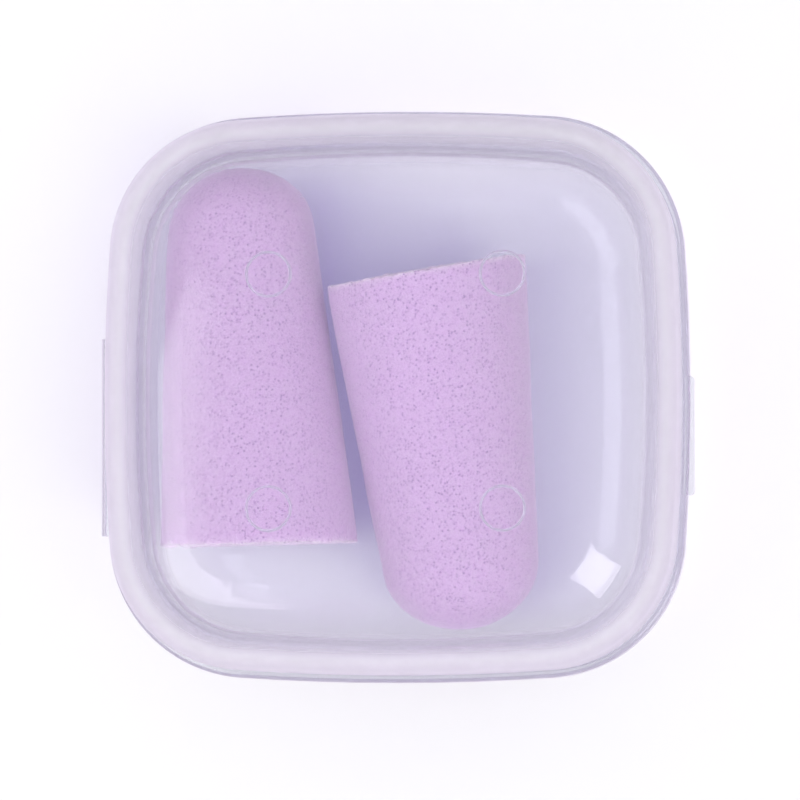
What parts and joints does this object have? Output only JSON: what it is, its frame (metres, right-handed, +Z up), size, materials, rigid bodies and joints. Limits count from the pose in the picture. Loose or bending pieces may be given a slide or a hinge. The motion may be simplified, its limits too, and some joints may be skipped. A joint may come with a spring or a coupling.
{
  "type": "foam ear plugs",
  "caption": "Tapered foam ear plugs lying in a small clear snap-shut travel case with rounded corners and a film hinge.",
  "frame": {"origin": "middle of the face that the closed case rests on", "axes": "+Z up through the lid, -X towards the film hinge, +X towards the thumb tab, Y across the case"},
  "size_m": [0.0361, 0.0346, 0.019],
  "materials": {
    "case_plastic": "gloss, clear with a slight haze",
    "plug_foam": "matte soft polyurethane foam with fine open pores"
  },
  "bodies": {
    "base": {"case_base": "case_plastic", "hinge_web": "case_plastic"},
    "lid": {"case_lid": "case_plastic"},
    "left_plug": {"ear_plug_left": "plug_foam"},
    "right_plug": {"ear_plug_right": "plug_foam"}
  },
  "joints": [
    {"name": "lid_hinge", "type": "hinge", "parent": "base", "child": "lid", "pos_m": [-0.01805, -0.0024, 0.0095], "axis": [0, -1, 0], "range_deg": [0, 180], "deforming": ["hinge_web"]},
    {"name": "left_plug_lift", "type": "slide", "parent": "base", "child": "left_plug", "axis": [0.0774, -0.2418, 0.9672], "range_m": [0, 0.0034]},
    {"name": "right_plug_lift", "type": "slide", "parent": "base", "child": "right_plug", "axis": [0, 0, 1], "range_m": [0, 0.0034]}
  ]
}
